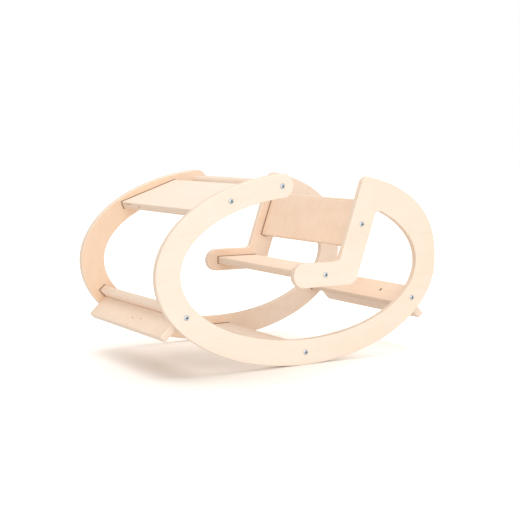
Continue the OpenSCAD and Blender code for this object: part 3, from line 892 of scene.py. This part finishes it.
# The hex share is kept as socket, where the metal is painted with shade.
marked = add_node(
    t, "GeometryNodeStoreNamedAttribute", {"Geometry": grid, "Name": "socket", "Value": hexness},
    data_type="FLOAT", domain="POINT",
).outputs[0]
skin = add_node(t, "GeometryNodeSetPosition", {"Geometry": marked, "Position": turned}).outputs[0]
skin = add_node(t, "GeometryNodeMergeByDistance", {"Geometry": skin, "Distance": 0.005 * MM}).outputs[0]
outward = add_node(
    t, "GeometryNodeInputNamedAttribute", {"Name": "outward"}, data_type="FLOAT_VECTOR"
).outputs[0]
aligned = add_node(t, "FunctionNodeAlignRotationToVector", {"Vector": outward}, axis="Z").outputs[0]
placed = add_node(
    t, "GeometryNodeInstanceOnPoints",
    {"Points": given.outputs["Geometry"], "Instance": skin, "Rotation": aligned},
).outputs[0]
realized = add_node(t, "GeometryNodeRealizeInstances", {0: placed}).outputs[0]
coloured = add_node(
    t, "GeometryNodeSetMaterial", {"Geometry": realized, "Material": given.outputs["Material"]}
).outputs[0]
t.links.new(coloured, made.inputs[0])
print("Lathe tree:", len(t.nodes), "nodes")


# %% Helpers for turned pieces
def profile_object(name, rows):
    """The profile for the lathe, from rows of (radius, height, hexness)."""
    mesh = bpy.data.meshes.new(name)
    mesh.from_pydata([(radius, 0, height) for radius, height, _ in rows], [], [])
    attribute = mesh.attributes.new("hex", "FLOAT", "POINT")
    for i, (_, _, hexness) in enumerate(rows):
        attribute.data[i].value = hexness
    profile = bpy.data.objects.new(name, mesh)
    bpy.context.scene.collection.objects.link(profile)
    return profile


def turned_pieces(name, rows, seats, material, segments, sharp_degrees):
    """One mesh with a turned piece on each seat, where a seat is (place, outward)."""
    mesh = bpy.data.meshes.new(name + "_seats")
    mesh.from_pydata([place for place, _ in seats], [], [])
    attribute = mesh.attributes.new("outward", "FLOAT_VECTOR", "POINT")
    for i, (_, outward) in enumerate(seats):
        attribute.data[i].vector = outward
    profile = profile_object(name + "_profile", rows)
    piece = run_tree(
        name, mesh, lathe, {"Profile": profile, "Segments": segments, "Material": material}
    )
    bpy.data.objects.remove(profile)
    outward_faces(piece.data)
    for face in piece.data.polygons:
        face.use_smooth = True
    piece.data.set_sharp_from_angle(angle=math.radians(sharp_degrees))
    return piece


def arc_rows(centre, radius, start, end, steps):
    """Profile rows along an arc, with angles in degrees."""
    rows = []
    for i in range(steps + 1):
        a = math.radians(start + (end - start) * i / steps)
        rows.append((centre[0] + radius * math.cos(a), centre[1] + radius * math.sin(a), 0.0))
    return rows


# %% [markdown]
# ## The grip bar
#
# A beech dowel of 28 mm, as it comes from the lathe: straight grain along its length, a light
# matt lacquer and ends that are eased so that they sit tight against the panels.

# %% Grip bar
BEECH = (0.91, 0.755, 0.62, 1)
BEECH_DEEP = (0.74, 0.53, 0.37, 1)
BAR_END_RADIUS = 1.5 * MM


def beech(name, board_turn, middle):
    """Straight-grained beech, with its short dark rays, along the first direction of board_turn."""
    material, tree, surface = new_material(name)
    coordinates = add_node(tree, "ShaderNodeTexCoord")
    vector = add_node(
        tree, "ShaderNodeMapping",
        {"Vector": coordinates.outputs["Object"], "Location": middle, "Rotation": board_turn.to_euler()},
        vector_type="TEXTURE",
    ).outputs[0]
    streaks = stretched_noise(tree, vector, (0.02, 1.0, 1.0), 500.0, 4.0, 0.6)
    rays = stretched_noise(tree, vector, (0.15, 1.0, 1.0), 900.0, 1.0)
    colour = mix_colours(tree, remap(tree, streaks, 0.35, 0.7, 0.0, 0.45), BEECH, BEECH_DEEP)
    colour = mix_colours(tree, remap(tree, rays, 0.62, 0.75, 0.0, 0.5), colour, BEECH_DEEP)
    tree.links.new(colour, surface.inputs["Base Color"])
    tree.links.new(remap(tree, streaks, 0.3, 0.7, 0.45, 0.6), surface.inputs["Roughness"])
    surface.inputs["Specular IOR Level"].default_value = 0.4
    bump = add_node(tree, "ShaderNodeBump", {"Height": streaks, "Strength": 0.2, "Distance": 0.1 * MM})
    tree.links.new(bump.outputs[0], surface.inputs["Normal"])
    return material


bar_low, bar_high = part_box("grip_bar")
bar_middle = (bar_low + bar_high) / 2
bar_radius = (bar_high.z - bar_low.z) / 2
bar_half = (bar_high.y - bar_low.y) / 2
GRAIN_ALONG_Y = Matrix.Rotation(math.pi / 2, 3, "Z")
bar_rows = [(0.0, -bar_half, 0.0)]
bar_rows += arc_rows((bar_radius - BAR_END_RADIUS, -bar_half + BAR_END_RADIUS), BAR_END_RADIUS, -90, 0, 4)
bar_rows += arc_rows((bar_radius - BAR_END_RADIUS, bar_half - BAR_END_RADIUS), BAR_END_RADIUS, 0, 90, 4)
bar_rows += [(0.0, bar_half, 0.0)]
bar = turned_pieces(
    "grip_bar_turned", bar_rows, [(bar_middle, ALONG_Y)],
    beech("beech_bar", GRAIN_ALONG_Y, bar_middle), 64, 40,
)
show(bar, "beech", "grip_bar")

# %% [markdown]
# ## Bolts
#
# Fourteen connector bolts hold the boards. Each has a flat domed head with a hexagon socket, in
# bright zinc. The head's profile starts at the bottom of the socket, climbs its wall as a
# hexagon, and runs over the dome to the rim and down the shank.

# %% Metals
ZINC = (0.56, 0.60, 0.62, 1)
DARK_PHOSPHATE = (0.42, 0.31, 0.22, 1)
BRASS = (0.78, 0.64, 0.35, 1)
# SOCKET_SHADE_TONE is painted shade for the inside of a bolt's socket.
SOCKET_SHADE_TONE = (0.15, 0.19, 0.20, 1)
STAIN_BRIGHTNESS = 0.8


def metal(name, colour, bump_strength, smoothest, roughest):
    """Metal with fine uneven polish, whose roughness runs from smoothest to roughest."""
    material, tree, surface = new_material(name)
    coordinates = add_node(tree, "ShaderNodeTexCoord")
    grit = stretched_noise(tree, coordinates.outputs["Object"], (1.0, 1.0, 1.0), 1400.0, 3.0)
    stain = stretched_noise(tree, coordinates.outputs["Object"], (1.0, 1.0, 1.0), 220.0, 2.0)
    darker = tuple(STAIN_BRIGHTNESS * c for c in colour[:3]) + (1,)
    plated = mix_colours(tree, remap(tree, stain, 0.4, 0.7, 0.0, 1.0), colour, darker)
    # Painted shade: the metal turns dark in a bolt's socket and on its lip.
    socket_shade = add_node(tree, "ShaderNodeAttribute", attribute_name="socket").outputs["Fac"]
    tree.links.new(mix_colours(tree, socket_shade, plated, SOCKET_SHADE_TONE), surface.inputs["Base Color"])
    surface.inputs["Metallic"].default_value = 1.0
    tree.links.new(remap(tree, grit, 0.3, 0.7, smoothest, roughest), surface.inputs["Roughness"])
    bump_inputs = {"Height": grit, "Strength": bump_strength, "Distance": 0.02 * MM}
    bump = add_node(tree, "ShaderNodeBump", bump_inputs)
    tree.links.new(bump.outputs[0], surface.inputs["Normal"])
    return material


zinc = metal("zinc_plate", ZINC, 0.3, 0.40, 0.54)
phosphate = metal("dark_phosphate", DARK_PHOSPHATE, 0.4, 0.45, 0.65)
brass = metal("brass", BRASS, 0.2, 0.3, 0.4)
print("Metals:", zinc.name, phosphate.name, brass.name)

# %% Bolts on their seats
HEAD_RADIUS = 6.5 * MM
HEAD_HEIGHT = 3.0 * MM
RIM_HEIGHT = 1.0 * MM
SOCKET_RADIUS = 4.0 * MM / 2 / math.cos(math.radians(30))
SOCKET_DEPTH = 2.25 * MM
SHANK_RADIUS = 3.0 * MM
SHANK_LENGTH = 50 * MM
SHANK_CHAMFER = 1 * MM
SOCKET_EASING = 0.3 * MM
RIM_EASING_IN = 0.25 * MM
RIM_EASING_DOWN = 0.15 * MM
DOME_STEPS = 6
BOLT_NODES = (
    "table_bolts", "grip_bar_bolts", "seat_bolts", "backrest_bolts", "foot_bolts",
    "front_stop_bolts", "rear_stop_bolts",
)
dome_height = HEAD_HEIGHT - RIM_HEIGHT
dome_radius = (HEAD_RADIUS ** 2 + dome_height ** 2) / (2 * dome_height)


def dome_point(radius):
    """Height of the dome at a distance from the bolt's axis."""
    return HEAD_HEIGHT - dome_radius + math.sqrt(dome_radius ** 2 - radius ** 2)


socket_floor = HEAD_HEIGHT - SOCKET_DEPTH
socket_lip = SOCKET_RADIUS + SOCKET_EASING
bolt_rows = [
    (0.0, socket_floor, 1.0), (SOCKET_RADIUS, socket_floor, 1.0),
    (SOCKET_RADIUS, dome_point(SOCKET_RADIUS) - SOCKET_EASING, 1.0),
    (socket_lip, dome_point(socket_lip), 0.6),
]
for i in range(1, DOME_STEPS + 1):
    radius = socket_lip + (HEAD_RADIUS - RIM_EASING_IN - socket_lip) * i / DOME_STEPS
    bolt_rows.append((radius, dome_point(radius), 0.0))
bolt_rows += [
    (HEAD_RADIUS, RIM_HEIGHT - RIM_EASING_DOWN, 0.0), (HEAD_RADIUS, 0.0, 0.0),
    (SHANK_RADIUS, 0.0, 0.0), (SHANK_RADIUS, -SHANK_LENGTH + SHANK_CHAMFER, 0.0),
    (SHANK_RADIUS - SHANK_CHAMFER, -SHANK_LENGTH, 0.0), (0.0, -SHANK_LENGTH, 0.0),
]
bolt_seats = []
panel_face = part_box("side_panel_right")[1].y
for name in BOLT_NODES:
    low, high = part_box(name)
    middle = (low + high) / 2
    for side in (-1, 1):
        bolt_seats.append(((middle.x, side * panel_face, middle.z), Vector((0, side, 0))))
bolts = turned_pieces("connector_bolts", bolt_rows, bolt_seats, zinc, 48, 35)
show(bolts, "zinc_steel", *BOLT_NODES)

# %% [markdown]
# ## What lies inside
#
# Barrel nuts, sleeves, dowels and screws are right as packed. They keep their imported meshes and
# only get a finish. Most are hidden, but the nuts show in their holes from below, and the screw
# heads show on the rear rail.

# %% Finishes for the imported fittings
beech_fittings = beech("beech_fittings", GRAIN_ALONG_Y, Vector((0, 0, 0)))
FINISHES = {"nuts": zinc, "sleeves": brass, "screws": phosphate, "dowels": beech_fittings}
finished = 0
for name, node in nodes.items():
    finish = next((m for word, m in FINISHES.items() if name.endswith(word)), None)
    if finish is not None:
        finished += 1
        for slot in node.material_slots:
            slot.material = finish
print("Packed fittings with a finish:", finished)

# %% [markdown]
# ## Studio
#
# The photograph is high-key: a white floor that runs into a white background, with soft light all
# round. Two broad lamps shine from above and from the camera's side, a weak one stands beside
# the near panel towards its rear, and the room is bright. The floor is a real diffuse surface,
# so that it keeps the rocker's shadow and throws light back. The camera alone sees it in a
# slightly warmer shade, a painted warm light that browns the shadow, and with an emission that
# grows with the distance from a point under the table. That glow is painted light: it lifts the
# floor to white and takes the rocker's weaker shadows away.

# %% Floor
FLOOR_HALF = 12.0
FLOOR_TONE = (0.93, 0.93, 0.93, 1)
# FLOOR_SEEN is a painted warm light: it browns the floor's shadow for the camera alone.
FLOOR_SEEN = (0.96, 0.91, 0.86, 1)
LIFT_NEAR = 0.0
LIFT_FAR = 0.60
LIFT_START = 0.15
LIFT_END = 0.70
# The lift is a painted glow that spreads from a point in the table's shadow.
LIFT_CENTRE = (-0.18, -0.12, 0.0)

floor_mesh = bpy.data.meshes.new("floor")
corners = [(x * FLOOR_HALF, y * FLOOR_HALF, 0) for x, y in ((-1, -1), (1, -1), (1, 1), (-1, 1))]
floor_mesh.from_pydata(corners, [], [(0, 1, 2, 3)])
floor = bpy.data.objects.new("floor", floor_mesh)
bpy.context.scene.collection.objects.link(floor)
floor_material, tree, surface = new_material("white_floor")
surface.inputs["Roughness"].default_value = 0.9
surface.inputs["Specular IOR Level"].default_value = 0.1
seen = add_node(tree, "ShaderNodeLightPath").outputs["Is Camera Ray"]
tree.links.new(mix_colours(tree, seen, FLOOR_TONE, FLOOR_SEEN), surface.inputs["Base Color"])
place = add_node(tree, "ShaderNodeTexCoord").outputs["Object"]
away = add_node(
    tree, "ShaderNodeVectorMath", {0: place, 1: LIFT_CENTRE}, operation="DISTANCE"
).outputs["Value"]
lift = remap(tree, away, LIFT_START, LIFT_END, LIFT_NEAR, LIFT_FAR)
# Painted light: a glow, for the camera alone, that whitens the floor and its weaker shadows.
glow = add_node(tree, "ShaderNodeEmission", {"Strength": calculate(tree, "MULTIPLY", seen, lift)})
both = add_node(tree, "ShaderNodeAddShader", {0: surface.outputs[0], 1: glow.outputs[0]})
tree.links.new(both.outputs[0], tree.nodes["Material Output"].inputs["Surface"])
floor_mesh.materials.append(floor_material)

# %% Room light and lamps
ROOM_LEVEL = 0.64
ROOM_TONE = (1.0, 0.97, 0.94, 1)
world = bpy.data.worlds.new("white_room")
bpy.context.scene.world = world
world.use_nodes = True
tree = world.node_tree
rays = add_node(tree, "ShaderNodeLightPath").outputs
direct = calculate(
    tree, "MAXIMUM", calculate(tree, "MAXIMUM", rays["Is Camera Ray"], rays["Is Glossy Ray"]),
    rays["Is Transmission Ray"],
)
strength = mix_numbers(tree, direct, ROOM_LEVEL, 1.0)
background = tree.nodes["Background"]
tree.links.new(mix_colours(tree, direct, ROOM_TONE, (1, 1, 1, 1)), background.inputs["Color"])
tree.links.new(strength, background.inputs["Strength"])


def soft_lamp(name, place, target, size, power):
    """A square area lamp that looks at target."""
    data = bpy.data.lights.new(name, "AREA")
    data.shape = "SQUARE"
    data.size = size
    data.energy = power
    lamp = bpy.data.objects.new(name, data)
    lamp.location = place
    lamp.rotation_euler = (Vector(target) - Vector(place)).to_track_quat("-Z", "Y").to_euler()
    bpy.context.scene.collection.objects.link(lamp)
    print(name, "at", power, "W")


ROCKER_MIDDLE = (0, 0, 0.25)
soft_lamp("overhead_softbox", (-0.15, 0.10, 3.6), ROCKER_MIDDLE, 2.6, 53)
soft_lamp("front_softbox", (-1.4, -3.7, 1.0), ROCKER_MIDDLE, 3.4, 59)
soft_lamp("side_softbox", (1.8, -3.0, 0.8), ROCKER_MIDDLE, 2.0, 12)

# %% Standard view transform
bpy.context.scene.view_settings.view_transform = "Standard"
